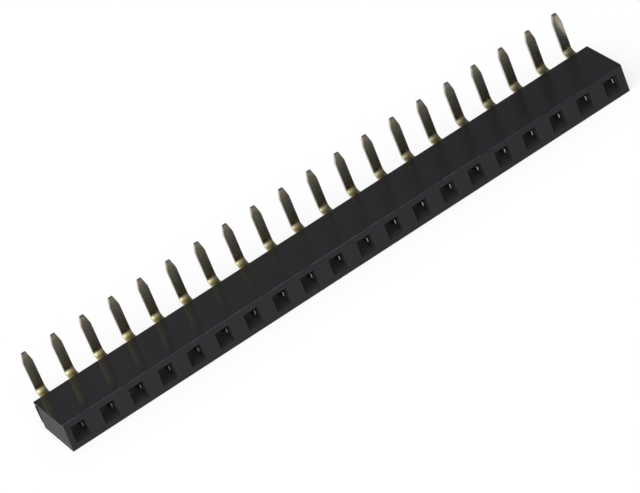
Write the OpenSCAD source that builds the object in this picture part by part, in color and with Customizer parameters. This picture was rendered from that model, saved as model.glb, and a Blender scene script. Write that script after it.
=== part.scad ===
// Right-angle female header strip: one row of square sockets in a moulded bar.
// X runs along the row, the sockets open towards -Y, the solder tails leave the
// back face and turn up to +Z. The bar lies on its plain face at Z = 0.

/* [Row] */
// Number of sockets in the row
positions = 20; // [2:1:50]
// Distance from one socket to the next
pitch = 2.54; // [2.1:0.02:3.96]

/* [Housing] */
// Thickness of the bar, from the plain face to the board side
body_height = 2.5; // [2.05:0.05:3.6]
// Depth of the bar, from the mating face to the back
body_depth = 4.7; // [3.9:0.1:8.5]
// Radius on the long moulded edges
edge_radius = 0.1; // [0.02:0.01:0.2]
// Plastic lost at the left end, where the strip was cut to length
cut_loss = 0.15; // [0:0.01:0.5]
// Lean of that cut from square, in degrees
cut_lean = 2; // [0:0.5:6]
// Height of the lip that the cut leaves at the back of the board side
lip_height = 0.26; // [0.1:0.02:0.6]

/* [Sockets] */
// Width of a socket's mouth along the row
mouth_width = 1.22; // [1:0.02:1.64]
// Height of a socket's mouth
mouth_height = 1.38; // [1:0.02:1.66]
// Lead-in chamfer on the two sides of the mouth
lead_in = 0.02; // [0.02:0.02:0.2]
// Thickness of the front wall that the mouth passes through
front_wall = 0.55; // [0.3:0.05:0.9]

/* [Contact chambers] */
// Width of the chamber behind each mouth
chamber_width = 1.5; // [1.24:0.02:1.8]
// Plastic above the chamber, on the board side
roof = 0.12; // [0.1:0.01:0.4]
// Step from the mouth's lower edge down to the floor of the chamber
floor_step = 0.11; // [0.05:0.01:0.2]

/* [Back ribs] */
// Height of the ribs that hold the back face off a wall or board
rib_height = 0.12; // [0.05:0.01:0.3]
// Width of a rib along the row
rib_width = 0.6; // [0.3:0.05:0.8]
// Plain margin of the back face below and above a rib
rib_margin = 0.5; // [0.3:0.05:0.9]

/* [Contacts] */
// Thickness of the strip that the contacts are stamped from
strip = 0.25; // [0.15:0.01:0.3]
// Gap between the two spring leaves at the pinch
pinch_gap = 0.44; // [0.3:0.02:0.56]
// Distance from the mating face to the pinch
pinch_depth = 1.5; // [1.25:0.05:2.2]
// Radius of the rolled pinch, at the middle of the strip
pinch_radius = 0.42; // [0.3:0.02:0.7]
// How far each leaf tip stays inside the width of the channel
tip_inset = 0.1; // [0.02:0.01:0.15]
// Height of a leaf at its tip
leaf_tip_height = 0.35; // [0.3:0.05:0.7]
// Length of the folded channel that carries the two leaves
channel_length = 1.3; // [0.8:0.1:2.5]
// Gap between the channel's lower edges and the floor of the chamber
channel_clear = 0.18; // [0.05:0.01:0.3]
// Step from the channel's lower edge up to the root of a leaf
root_step = 0.12; // [0.05:0.01:0.2]
// Inner radius of the channel's two folds
fold_radius = 0.12; // [0.06:0.02:0.2]

/* [Solder tails] */
// Width of a tail
tail_width = 0.77; // [0.4:0.01:0.9]
// Distance from the back face to the near face of a tail
tail_offset = 0.75; // [0.5:0.05:3]
// Inner radius of the right-angle bend
bend_radius = 0.45; // [0.1:0.05:0.5]
// Length of a tail above the board side
tail_length = 3.4; // [2:0.05:5]
// Length of the pointed end
taper_length = 0.8; // [0.3:0.05:1.5]
// Width of the flat at the tip
tip_width = 0.36; // [0.1:0.02:0.5]
// Length of the coined bevels at the tip
coin_length = 0.15; // [0.05:0.05:0.5]
// Thickness that coining leaves at the tip
tip_thickness = 0.2; // [0.1:0.01:0.25]

/* [Fits] */
// Gap between a contact and the walls that hold it
seat_gap = 0.02; // [0.01:0.01:0.05]

/* [Hidden] */
$fn = 64;
slack = 0.5;                                    // overshoot of a cutting shape
roll_steps = 6;                                 // flats along a rolled pinch
nose_steps = 8;                                 // flats round the nose of a leaf

// Housing stations
row_length = positions * pitch;
front_y = -body_depth / 2;
back_y = body_depth / 2;
socket_z = body_height / 2;
chamber_floor = socket_z - mouth_height / 2 - floor_step;
chamber_top = body_height - roof;
chamber_front = front_y + front_wall;

// Contact stations
strip_top = chamber_top - seat_gap;             // upper face of the flat strip
channel_half = chamber_width / 2 - seat_gap;    // outside of the channel's walls
channel_back = back_y - seat_gap;
channel_front = channel_back - channel_length;
wall_bottom = chamber_floor + channel_clear;    // lower edge of the channel's walls
root_half = socket_z - wall_bottom - root_step; // half the height of a leaf at its root
root_lap = strip / 2;                           // how far a leaf runs into its wall
leaf_front = chamber_front + seat_gap + strip / 2; // centre of the leaf's round nose
pinch_y = front_y + pinch_depth;

// Tail stations
tail_near_y = back_y + tail_offset;
bend_y = tail_near_y - bend_radius;
bend_z = strip_top + bend_radius;
tip_z = body_height + tail_length;

function socket_x(i) = (i - (positions + 1) / 2) * pitch;

// Points along an arc, both ends included
function arc(centre, radius, from, to, steps) = [
    for (k = [0:steps])
        let (a = from + (to - from) * k / steps)
            centre + radius * [cos(a), sin(a)]
];

// A Y-Z profile, extruded along X and centred on it
module across(width) {
    rotate([90, 0, 90])
        linear_extrude(width, center = true)
            children();
}

// An X-Z profile, extruded towards +Y from y = 0
module backwards(length) {
    translate([0, length, 0])
        rotate([90, 0, 0])
            linear_extrude(length)
                children();
}

// Rectangle with round corners, lower left corner at the origin
module soft_rectangle(width, height, radius) {
    translate([radius, 0])
        square([width - 2 * radius, height]);
    translate([0, radius])
        square([width, height - 2 * radius]);
    for (x = [radius, width - radius], y = [radius, height - radius])
        translate([x, y])
            circle(radius);
}

// Ring sector about the origin, from angle a0 over less than a half turn
module bend_band(inner, outer, a0, sweep) {
    reach = outer / cos(sweep / 2) + slack;
    intersection() {
        difference() {
            circle(outer);
            circle(inner);
        }
        polygon([
            [0, 0],
            reach * [cos(a0), sin(a0)],
            reach * [cos(a0 + sweep / 2), sin(a0 + sweep / 2)] / cos(sweep / 2),
            reach * [cos(a0 + sweep), sin(a0 + sweep)]
        ]);
    }
}

// ---- Housing ----

module socket_mouth() {
    translate([0, front_y - slack, socket_z])
        translate([-mouth_width / 2, 0, -mouth_height / 2])
            cube([mouth_width, front_wall + 2 * slack, mouth_height]);
}

// The mouth's two sides open out towards the mating face
module mouth_lead_in() {
    half = mouth_width / 2;
    translate([0, front_y, socket_z - mouth_height / 2])
        linear_extrude(mouth_height)
            polygon([
                [-half - lead_in - slack, -slack],
                [half + lead_in + slack, -slack],
                [half, lead_in],
                [-half, lead_in]
            ]);
}

module contact_chamber() {
    translate([-chamber_width / 2, chamber_front, chamber_floor])
        cube([chamber_width, body_depth, chamber_top - chamber_floor]);
}

module back_rib() {
    rib_size = body_height - 2 * rib_margin;
    translate([0, back_y, rib_margin])
        backwards(rib_height)
            translate([-rib_width / 2, 0])
                square([rib_width, rib_size]);
}

// Everything beyond the two ends of the strip
module outside_ends() {
    block = [pitch, body_depth + 2 * slack + rib_height, body_height + 2 * slack];
    for (x = [row_length / 2, cut_loss - row_length / 2 - pitch])
        translate([x, front_y - slack, -slack])
            cube(block);
}

// The cut end leans in, below a lip that widens towards the back
module cut_face() {
    low_x = -slack * tan(cut_lean);
    high_x = (body_height + slack) * tan(cut_lean);
    translate([cut_loss - row_length / 2, 0, 0])
        intersection() {
            translate([0, front_y - slack, 0])
                backwards(body_depth + slack)
                    polygon([
                        [-slack, -slack],
                        [low_x, -slack],
                        [high_x, body_height + slack],
                        [-slack, body_height + slack]
                    ]);
            across(2 * pitch)
                polygon([
                    [front_y - slack, -slack],
                    [back_y, -slack],
                    [back_y, body_height - lip_height],
                    [front_y, body_height],
                    [front_y - slack, body_height + slack]
                ]);
        }
}

module housing() {
    color([0.13, 0.13, 0.14])
        difference() {
            union() {
                translate([0, front_y, 0])
                    across(row_length)
                        soft_rectangle(body_depth, body_height, edge_radius);
                for (i = [0:positions])
                    translate([socket_x(i + 0.5), 0, 0])
                        back_rib();
            }
            for (i = [1:positions])
                translate([socket_x(i), 0, 0]) {
                    socket_mouth();
                    mouth_lead_in();
                    contact_chamber();
                }
            outside_ends();
            cut_face();
        }
}

// ---- Contact ----

// Channel: a flat web under the roof, folded down at both sides
module channel() {
    outer = fold_radius + strip;
    fold_x = channel_half - outer;
    fold_z = strip_top - outer;
    translate([0, channel_front, 0])
        backwards(channel_length) {
            translate([-fold_x, strip_top - strip])
                square([2 * fold_x, strip]);
            for (side = [0, 1])
                mirror([side, 0]) {
                    translate([fold_x, fold_z])
                        bend_band(fold_radius, outer, 0, 90);
                    translate([channel_half - strip, wall_bottom])
                        square([strip, fold_z - wall_bottom]);
                }
        }
}

// Plan of the right-hand leaf: its arm leans in from the channel's wall to the
// rolled pinch, and the tip opens out again to a round nose
module leaf_plan() {
    root = [channel_half - strip / 2, channel_front];
    roll = [(pinch_gap + strip) / 2 + pinch_radius, pinch_y];
    nose = [channel_half - tip_inset - strip / 2, leaf_front];
    arm = root - roll;
    tip = nose - roll;
    leave = 180 - atan2(arm[0], arm[1]) - asin(pinch_radius / norm(arm));
    open = 180 + atan2(tip[0], -tip[1]) + asin(pinch_radius / norm(tip));
    polygon(concat(
        [
            root + [strip / 2, 0],
            root + [strip / 2, root_lap],
            root + [-strip / 2, root_lap],
            root - [strip / 2, 0]
        ],
        arc(roll, pinch_radius + strip / 2, leave, open, roll_steps),
        arc(nose, strip / 2, open, open + 180, nose_steps),
        arc(roll, pinch_radius - strip / 2, open, leave, roll_steps)
    ));
}

// Side view of a leaf: low at the nose and the pinch, and as high as its root at the wall
module leaf_side() {
    low = leaf_tip_height / 2;
    wide_y = channel_front + root_lap;
    translate([0, socket_z])
        polygon([
            [front_y, -low],
            [pinch_y + strip, -low],
            [channel_front, -root_half],
            [wide_y, -root_half],
            [wide_y, root_half],
            [channel_front, root_half],
            [pinch_y + strip, low],
            [front_y, low]
        ]);
}

module leaf() {
    intersection() {
        translate([0, 0, socket_z - root_half - slack])
            linear_extrude(2 * (root_half + slack))
                leaf_plan();
        across(2 * chamber_width)
            leaf_side();
    }
}

module leaves() {
    for (side = [0, 1])
        mirror([side, 0, 0])
            leaf();
}

// Side view of the tail: out of the back, round the bend and up to a coined tip
module tail_side() {
    coin = (strip - tip_thickness) / 2;
    coin_z = tip_z - coin_length;
    far_y = tail_near_y + strip;
    translate([channel_front, strip_top - strip])
        square([bend_y - channel_front, strip]);
    translate([bend_y, bend_z])
        bend_band(bend_radius, bend_radius + strip, -90, 90);
    polygon([
        [tail_near_y, bend_z],
        [far_y, bend_z],
        [far_y, coin_z],
        [far_y - coin, tip_z],
        [tail_near_y + coin, tip_z],
        [tail_near_y, coin_z]
    ]);
}

// Front view of the tail: a straight blade with a pointed end
module tail_front() {
    half = tail_width / 2;
    point = tip_width / 2;
    polygon([
        [-half, 0],
        [half, 0],
        [half, tip_z - taper_length],
        [point, tip_z],
        [-point, tip_z],
        [-half, tip_z - taper_length]
    ]);
}

module tail() {
    intersection() {
        across(2 * tail_width)
            tail_side();
        translate([0, channel_front, 0])
            backwards(body_depth + 2 * tail_offset)
                tail_front();
    }
}

module contact() {
    color([0.83, 0.68, 0.35]) {
        channel();
        leaves();
        tail();
    }
}

housing();
for (i = [1:positions])
    translate([socket_x(i), 0, 0])
            contact();
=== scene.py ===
import math

import bpy
from mathutils import Matrix, Vector


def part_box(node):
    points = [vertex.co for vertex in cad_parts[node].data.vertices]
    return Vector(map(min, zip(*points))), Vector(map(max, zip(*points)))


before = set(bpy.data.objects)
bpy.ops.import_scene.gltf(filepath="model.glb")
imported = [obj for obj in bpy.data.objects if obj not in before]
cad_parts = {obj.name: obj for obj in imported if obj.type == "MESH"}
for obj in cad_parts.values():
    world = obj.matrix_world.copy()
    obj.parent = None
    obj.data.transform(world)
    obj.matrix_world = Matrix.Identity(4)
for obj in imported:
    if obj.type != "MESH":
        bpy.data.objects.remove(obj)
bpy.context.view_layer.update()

MM = 0.001
PITCH = 2.54 * MM
HOUSING_LOW, HOUSING_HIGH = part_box("housing")
LEFT_X, RIGHT_X = HOUSING_LOW.x, HOUSING_HIGH.x     # the cut end, the moulded end
FRONT_Y = HOUSING_LOW.y          # the mating face
BACK_Y = 2.35 * MM               # the back face, without its ribs
BOARD_Z = HOUSING_HIGH.z         # the board side

# ---- Camera: the photograph's viewing angle ----
# The strip runs diagonally across the picture, so the camera is rolled about its own axis.
AZIMUTH = math.radians(-18.90)
ELEVATION = math.radians(31.68)
ROLL = math.radians(-22.64)
DISTANCE = 0.2983
AIM = Vector((-1.416, -0.466, 2.145)) * MM
SENSOR = 36.0
LENS = 228.72
NEAR, FAR = 0.01, 20.0


def make_camera():
    back = Vector((
        math.sin(AZIMUTH) * math.cos(ELEVATION),
        -math.cos(AZIMUTH) * math.cos(ELEVATION),
        math.sin(ELEVATION),
    ))
    level = Vector((math.cos(AZIMUTH), math.sin(AZIMUTH), 0))
    over = back.cross(level)
    right = level * math.cos(ROLL) + over * math.sin(ROLL)
    up = over * math.cos(ROLL) - level * math.sin(ROLL)
    data = bpy.data.cameras.new("camera")
    data.sensor_width = SENSOR
    data.lens = LENS
    data.clip_start = NEAR
    data.clip_end = FAR
    camera = bpy.data.objects.new("camera", data)
    camera.matrix_world = Matrix.Translation(AIM + back * DISTANCE) @ Matrix(
        (right, up, back)
    ).transposed().to_4x4()
    bpy.context.scene.collection.objects.link(camera)
    bpy.context.scene.camera = camera


# ---- Node helpers ----
MIX_A, MIX_B, MIX_RESULT = 6, 7, 2      # the colour sockets of a Mix node


class Shader:
    """A material's or world's node tree, with short calls for the nodes used here."""

    def __init__(self, name, holder=None):
        self.holder = holder or bpy.data.materials.new(name)
        self.holder.use_nodes = True
        self.tree = self.holder.node_tree
        self.tree.nodes.clear()

    def add(self, kind, inputs=None, **settings):
        node = self.tree.nodes.new(kind)
        for key, value in settings.items():
            setattr(node, key, value)
        for key, value in (inputs or {}).items():
            self.put(node.inputs[key], value)
        return node

    def put(self, socket, value):
        if isinstance(value, bpy.types.NodeSocket):
            self.tree.links.new(value, socket)
        else:
            socket.default_value = value

    def math(self, operation, a, b=0.0, c=0.0):
        return self.add("ShaderNodeMath", {0: a, 1: b, 2: c}, operation=operation).outputs[0]

    def span(self, value, low, high, to_low=0.0, to_high=1.0):
        """value mapped smoothly from low..high to to_low..to_high"""
        node = self.add("ShaderNodeMapRange", interpolation_type="SMOOTHSTEP")
        for key, item in enumerate((value, low, high, to_low, to_high)):
            self.put(node.inputs[key], item)
        return node.outputs[0]

    def noise(self, vector, size, detail=2.0, rough=0.5):
        """Noise from 0 to 1 whose features are about size metres across"""
        return self.add(
            "ShaderNodeTexNoise",
            {"Vector": vector, "Scale": 1 / size, "Detail": detail, "Roughness": rough},
        ).outputs[0]

    def stretch(self, vector, x, y, z):
        return self.add(
            "ShaderNodeVectorMath", {0: vector, 1: (x, y, z)}, operation="MULTIPLY"
        ).outputs[0]

    def mix(self, factor, a, b):
        node = self.add("ShaderNodeMix", data_type="RGBA")
        self.put(node.inputs[0], factor)
        self.put(node.inputs[MIX_A], a)
        self.put(node.inputs[MIX_B], b)
        return node.outputs[MIX_RESULT]

    def bump(self, height, distance, normal=None):
        inputs = {"Strength": 1.0, "Distance": distance, "Height": height}
        if normal is not None:
            inputs["Normal"] = normal
        return self.add("ShaderNodeBump", inputs).outputs[0]

    def every(self, *masks):
        """The product of several masks"""
        result = masks[0]
        for mask in masks[1:]:
            result = self.math("MULTIPLY", result, mask)
        return result

    def object_space(self):
        return self.add("ShaderNodeTexCoord").outputs["Object"]

    def facing(self):
        """The X, Y and Z of the true normal"""
        return self.split(self.add("ShaderNodeNewGeometry").outputs["True Normal"])

    def split(self, vector):
        return self.add("ShaderNodeSeparateXYZ", {0: vector}).outputs

    def surface(self, shader):
        self.add("ShaderNodeOutputMaterial", {"Surface": shader})
        return self.holder


# ---- Housing: black moulded plastic, rough where the strip was cut to length ----
CLOUD_SIZE = 4 * MM              # the broad unevenness of the moulded faces
MOTTLE_SIZE = 0.7 * MM           # patches of more and less gloss
GRAIN_SIZE = 0.09 * MM           # the walls inside the sockets
SCAR_SIZE = 0.45 * MM            # tears in the cut end
SCAR_STRETCH = (1, 0.35, 1.6)    # they run along Y

# plain plastic at the cut end and at the other end; the change between them is painted light
# falling off along the row
PLAIN_LEFT = (0.0108, 0.0110, 0.0142, 1)
PLAIN_RIGHT = (0.0056, 0.0058, 0.0088, 1)
# the rounded edges, drawn lighter: partly wear, partly a painted highlight
RUBBED_AND_HIGHLIGHT = (0.058, 0.059, 0.068, 1)
TORN = ((0.033, 0.033, 0.032, 1), (0.068, 0.0675, 0.0655, 1))
# painted light in the sockets: the walls drawn lighter from the mouth to the back, and how far in
# they change
WALL_FRONT = (0.038, 0.038, 0.041, 1)
WALL_MIDDLE = (0.072, 0.0715, 0.076, 1)
WALL_BACK = (0.20, 0.198, 0.206, 1)
WALL_MIDDLE_IN = (0.3 * MM, 1.8 * MM)
WALL_BACK_IN = (1.3 * MM, 2.5 * MM)

BAND_FRONT, BAND_BACK = 0.10 * MM, 0.30 * MM    # height of the band that isn't torn
HIGHLIGHT_FADE_X = (22 * MM, 6 * MM)     # the painted highlight and the rubbing fade to the right of here
HAZE_X = (-18 * MM, -5 * MM)     # the gloss fades to the right of here
CLOUD_RELIEF, GRAIN_RELIEF, SCAR_RELIEF = 0.006 * MM, 0.0012 * MM, 0.06 * MM


def housing_material():
    s = Shader("moulded_black_plastic")
    place = s.object_space()
    x, y, z = s.split(place)
    facing = s.facing()

    cloud = s.noise(place, CLOUD_SIZE, 3)
    grain = s.noise(place, GRAIN_SIZE, 2)
    mottle = s.noise(place, MOTTLE_SIZE, 3, 0.6)
    scar = s.noise(s.stretch(place, *SCAR_STRETCH), SCAR_SIZE, 4, 0.65)

    # the cut end looks along -X; it is torn but for a dark band at the top, wider towards the back
    cut = s.every(
        s.span(facing[0], -0.90, -0.97),
        s.span(x, LEFT_X + 0.5 * MM, LEFT_X + 0.3 * MM),
    )
    band = s.span(y, FRONT_Y, BACK_Y, BAND_FRONT, BAND_BACK)
    ragged = s.math("MULTIPLY_ADD", mottle, 0.10 * MM, s.math("ADD", z, band))
    torn = s.every(
        cut,
        s.span(ragged, BOARD_Z + 0.10 * MM, BOARD_Z),
        s.span(y, BACK_Y + 0.01 * MM, BACK_Y - 0.01 * MM),
    )

    # the walls inside the sockets are duller than the polished outside, and drawn lighter as
    # painted light where shade falls
    inside = s.every(
        s.span(y, FRONT_Y, FRONT_Y + 0.12 * MM),
        s.span(z, BOARD_Z - 0.04 * MM, BOARD_Z - 0.08 * MM),
        s.span(z, 0.04 * MM, 0.08 * MM),
        s.span(y, BACK_Y + 0.02 * MM, BACK_Y - 0.02 * MM),
        s.span(x, LEFT_X + 0.30 * MM, LEFT_X + 0.40 * MM),
        s.span(x, RIGHT_X - 0.04 * MM, RIGHT_X - 0.08 * MM),
    )

    # the long moulded edges beside the mating face are rubbed rougher and drawn lighter as a
    # painted highlight, less so towards the right end
    upright = s.math("ABSOLUTE", facing[2])
    rubbed_highlight = s.every(
        s.span(upright, 0.10, 0.25),
        s.span(upright, 0.85, 0.65),
        s.span(mottle, 0.35, 0.65, 0.35, 1.0),
        s.span(x, *HIGHLIGHT_FADE_X, 0.45, 1.0),
    )

    # painted light: the plastic is drawn a little lighter at the cut end and darker towards the
    # other, as the light falls off along the row, with cloudy tone over it
    tone_and_falloff = s.math("MULTIPLY_ADD", cloud, 0.3, s.span(x, LEFT_X, RIGHT_X, -0.15, 0.85))
    outside = s.mix(rubbed_highlight, s.mix(tone_and_falloff, PLAIN_LEFT, PLAIN_RIGHT), RUBBED_AND_HIGHLIGHT)
    middle, back = (
        s.span(y, FRONT_Y + near, FRONT_Y + far) for near, far in (WALL_MIDDLE_IN, WALL_BACK_IN)
    )
    wall_painted_light = s.mix(back, s.mix(middle, WALL_FRONT, WALL_MIDDLE), WALL_BACK)
    colour = s.mix(torn, s.mix(inside, outside, wall_painted_light), s.mix(scar, *TORN))

    rough = s.math("ADD", s.span(mottle, 0.25, 0.8, 0.06, 0.10), s.span(x, *HAZE_X, 0, 0.17))
    rough = s.math("MULTIPLY_ADD", rubbed_highlight, 0.2, rough)
    rough = s.math("MULTIPLY_ADD", inside, 0.35, rough)
    rough = s.math("MULTIPLY_ADD", cut, 0.55, rough)

    relief = s.bump(cloud, CLOUD_RELIEF)
    relief = s.bump(s.math("MULTIPLY", grain, inside), GRAIN_RELIEF, relief)
    relief = s.bump(s.math("MULTIPLY", scar, torn), SCAR_RELIEF, relief)

    body = s.add("ShaderNodeBsdfPrincipled", {
        "Base Color": colour,
        "Roughness": rough,
        "IOR": 1.5,
        "Specular IOR Level": 0.28,
        "Normal": relief,
    })
    return s.surface(body.outputs[0])


# ---- Contacts: stamped strip, gold plated, browner and duller towards the tips of the tails ----
TINT_SIZE = 1.6 * MM             # patches of plating
SPECK_SIZE = 0.12 * MM           # marks of the tool in the sheared edges
EDGE_RELIEF = 0.006 * MM
CAMBER = 3.8 * MM                # radius across the face of a tail
KNOCK = math.tan(math.radians(3.0))     # slope by which the last tail looks knocked round
LAST_X = (22.8 * MM, 22.9 * MM)  # between the last two tails

# each look in two tones, and the heights where it starts and where it is full
# the first look: the foot of the tails drawn darker and richer, a painted shade where the strip
# runs into the housing
FOOT_SHADE = ((0.185, 0.155, 0.068, 1), (0.225, 0.19, 0.086, 1))
GOLD = ((0.52, 0.465, 0.24, 1), (0.58, 0.52, 0.27, 1))
STAIN = ((0.56, 0.46, 0.21, 1), (0.65, 0.54, 0.26, 1))
PALE = ((0.50, 0.43, 0.27, 1), (0.58, 0.50, 0.33, 1))
GOLD_Z = (2.40 * MM, 2.57 * MM)
STAIN_Z = (2.65 * MM, 2.95 * MM)
PALE_Z = (3.3 * MM, 4.7 * MM)
# the last tail drawn darker above its bend, the point of every tail, and the sheared tip
LAST_TAIL_DARKER = (0.35, 0.31, 0.235, 1)
POINT = (0.20, 0.17, 0.11, 1)
TIP = (0.11, 0.105, 0.095, 1)
KNOCKED_Z = (2.8 * MM, 3.6 * MM)
POINT_Z = (4.9 * MM, 5.6 * MM)
TIP_Z = (5.70 * MM, 5.76 * MM)
# the sheared edges; and the metal within the housing, drawn dark as painted shade, lighter towards
# the right as a painted glint
SHEARED = ((0.31, 0.29, 0.22, 1), (0.41, 0.38, 0.30, 1))
HOUSED_SHADE_GLINT = ((0.105, 0.104, 0.10, 1), (0.36, 0.355, 0.34, 1))
HOUSED_GLINT_X = (-25 * MM, 15 * MM)
# heights where a dull film comes over the tails, where it thins again, and where the metal
# under it gets rougher
FILM_Z = (2.6 * MM, 3.4 * MM)
FILM_THINS_Z = (4.9 * MM, 5.5 * MM)
ROUGHER_Z = (3.2 * MM, 4.2 * MM)
FILM_ROUGHNESS = 0.40
FILM_IOR = 2.1


def contact_material():
    s = Shader("plated_strip")
    place = s.object_space()
    x, y, z = s.split(place)
    facing = s.facing()

    # the sheared edges look along X and are duller than the rolled faces
    edge = s.span(s.math("ABSOLUTE", facing[0]), 0.90, 0.98)
    # within the housing the strip is drawn dark as painted shade, and is rougher
    housed = s.span(y, BACK_Y + 0.1 * MM, BACK_Y - 0.1 * MM)
    last = s.every(s.span(x, *LAST_X), s.span(z, *KNOCKED_Z))

    tint = s.noise(place, TINT_SIZE, 3)
    speck = s.noise(place, SPECK_SIZE, 2)

    # painted shade at the foot, gold at the bend, stained above it, paler towards the point
    face = s.mix(s.span(z, *GOLD_Z), s.mix(tint, *FOOT_SHADE), s.mix(tint, *GOLD))
    face = s.mix(s.span(z, *STAIN_Z), face, s.mix(tint, *STAIN))
    face = s.mix(s.span(z, *PALE_Z), face, s.mix(tint, *PALE))
    face = s.mix(last, face, LAST_TAIL_DARKER)
    face = s.mix(s.span(z, *POINT_Z, 0, 0.35), face, POINT)
    face = s.mix(s.span(z, *TIP_Z), face, TIP)
    shear = s.mix(speck, *SHEARED)
    dark = s.mix(s.span(x, *HOUSED_GLINT_X), *HOUSED_SHADE_GLINT)
    colour = s.mix(housed, s.mix(edge, face, shear), dark)

    rough = s.span(speck, 0.3, 0.7, 0.10, 0.12)
    rough = s.math("ADD", rough, s.span(z, *ROUGHER_Z, 0, 0.075))
    rough = s.math("MULTIPLY_ADD", edge, 0.12, rough)
    rough = s.math("MULTIPLY_ADD", housed, 0.10, rough)

    # a dull film lies over the metal, thinner at the bend and at the point
    film = s.span(z, *FILM_Z, 0.35, 0.75)
    film = s.math("SUBTRACT", film, s.span(z, *FILM_THINS_Z, 0, 0.3))

    # stamping leaves the faces slightly cambered from edge to edge, most of all at the bend
    across = s.math("SUBTRACT", s.math("FRACT", s.math("DIVIDE", x, PITCH)), 0.5)
    camber = s.math("MULTIPLY", s.math("MULTIPLY", across, across), -PITCH * PITCH / (2 * CAMBER))
    camber = s.math("MULTIPLY", camber, s.span(z, 2.7 * MM, 3.2 * MM, 1.0, 0.5))
    # and the last tail is knocked round by a few degrees above its bend
    turned = s.math("MULTIPLY", across, s.math("MULTIPLY", last, PITCH * KNOCK))
    camber = s.math("MULTIPLY", s.math("ADD", camber, turned), s.math("SUBTRACT", 1.0, housed))
    relief = s.bump(camber, 1.0)
    relief = s.bump(s.math("MULTIPLY", speck, edge), EDGE_RELIEF, relief)

    body = s.add("ShaderNodeBsdfPrincipled", {
        "Base Color": colour,
        "Metallic": 1.0,
        "Roughness": rough,
        "Normal": relief,
        "Coat Weight": film,
        "Coat Roughness": FILM_ROUGHNESS,
        "Coat IOR": FILM_IOR,
        "Coat Normal": relief,
    })
    return s.surface(body.outputs[0])


def dress_nodes():
    plastic = housing_material()
    metal = contact_material()
    for name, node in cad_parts.items():
        material = plastic if name == "housing" else metal
        if not node.material_slots:
            node.data.materials.append(material)
        for item in node.material_slots:
            item.material = material


# ---- Stage: a pale floor, curved up behind, and soft light from the front left ----
FLOOR_RADIUS = 1.6
FLAT_RADII = (0.3, 0.8)          # rings on the flat of the floor
RIM_RADIUS = 0.5                 # of the curve at its edge
RIM_TURN = math.radians(47)      # how far that curve turns up
RIM_STEPS = 8
FLOOR_SIDES = 72
FLOOR_DROP = 0.01 * MM
FLOOR_GREY = (0.40, 0.40, 0.40, 1)
FLOOR_LIFT = 0.67
WHITE = (1, 1, 1, 1)


def make_floor():
    """A round floor, flat in front, whose rim curves up behind the object."""
    flat_end = FLOOR_RADIUS - RIM_RADIUS
    rings = [(radius, 0.0) for radius in (*FLAT_RADII, flat_end)]
    for k in range(1, RIM_STEPS + 1):
        turn = RIM_TURN * k / RIM_STEPS
        rings.append((flat_end + RIM_RADIUS * math.sin(turn), RIM_RADIUS * (1 - math.cos(turn))))
    points, faces = [(0, 0, -FLOOR_DROP)], []
    for radius, height in rings:
        for k in range(FLOOR_SIDES):
            turn = 2 * math.pi * k / FLOOR_SIDES
            rise = height * (1 + math.sin(turn)) / 2
            points.append((radius * math.cos(turn), radius * math.sin(turn), rise - FLOOR_DROP))
    for k in range(FLOOR_SIDES):
        faces.append((0, 1 + k, 1 + (k + 1) % FLOOR_SIDES))
    for ring in range(len(rings) - 1):
        low, high = 1 + ring * FLOOR_SIDES, 1 + (ring + 1) * FLOOR_SIDES
        for k in range(FLOOR_SIDES):
            after = (k + 1) % FLOOR_SIDES
            faces.append((low + k, high + k, high + after, low + after))
    mesh = bpy.data.meshes.new("floor")
    mesh.from_pydata(points, [], faces)
    mesh.polygons.foreach_set("use_smooth", [True] * len(faces))
    floor = bpy.data.objects.new("floor", mesh)
    bpy.context.scene.collection.objects.link(floor)
    mesh.materials.append(floor_material())


def floor_material():
    """Pale and matt. What a camera or a mirror sees of it is lifted to white; the shadow stays."""
    s = Shader("pale_floor")
    path = s.add("ShaderNodeLightPath").outputs
    seen = s.math("MAXIMUM", path["Is Camera Ray"], path["Is Glossy Ray"])
    seen = s.math("MAXIMUM", seen, path["Is Transmission Ray"])
    matt = s.add("ShaderNodeBsdfDiffuse", {"Color": FLOOR_GREY})
    strength = s.math("MULTIPLY", seen, FLOOR_LIFT)
    lift = s.add("ShaderNodeEmission", {"Color": WHITE, "Strength": strength})
    both = s.add("ShaderNodeAddShader", {0: matt.outputs[0], 1: lift.outputs[0]})
    return s.surface(both.outputs[0])


BOX_LEVEL = 1.4                  # the broad soft light
BOX_X = (0.17, 0.05)             # its right-hand edge, as the X of a direction
SPILL_LEVEL = 0.75               # the light that spills past that edge
SPILL_X = (0.40, 0.08)
FRONT_TURN = (0.15, -0.1)        # both fade out behind this Y
FRONT_RISE = (0.0, 0.36)         # and below this Z


def make_world():
    """A plain studio: a broad soft light in front and to the left, dim elsewhere."""
    world = bpy.data.worlds.new("studio")
    bpy.context.scene.world = world
    s = Shader("studio", world)
    x, y, z = s.split(s.add("ShaderNodeTexCoord").outputs["Generated"])
    front = s.math("MULTIPLY", s.span(y, *FRONT_TURN), s.span(z, *FRONT_RISE))
    box = s.math("MULTIPLY", s.span(x, *BOX_X), front)
    spill = s.math("MULTIPLY", s.span(x, *SPILL_X), front)
    dim = s.math("ADD", s.span(y, -0.2, 0.6, 0.0, 0.17), s.span(z, 0.0, 0.5, 0.07, 0.15))
    level = s.math("MULTIPLY_ADD", box, BOX_LEVEL, s.math("MULTIPLY_ADD", spill, SPILL_LEVEL, dim))
    light = s.add("ShaderNodeBackground", {"Color": WHITE, "Strength": level})
    s.add("ShaderNodeOutputWorld", {"Surface": light.outputs[0]})


make_camera()
make_world()
make_floor()
dress_nodes()

bpy.context.scene.view_settings.view_transform = "Standard"
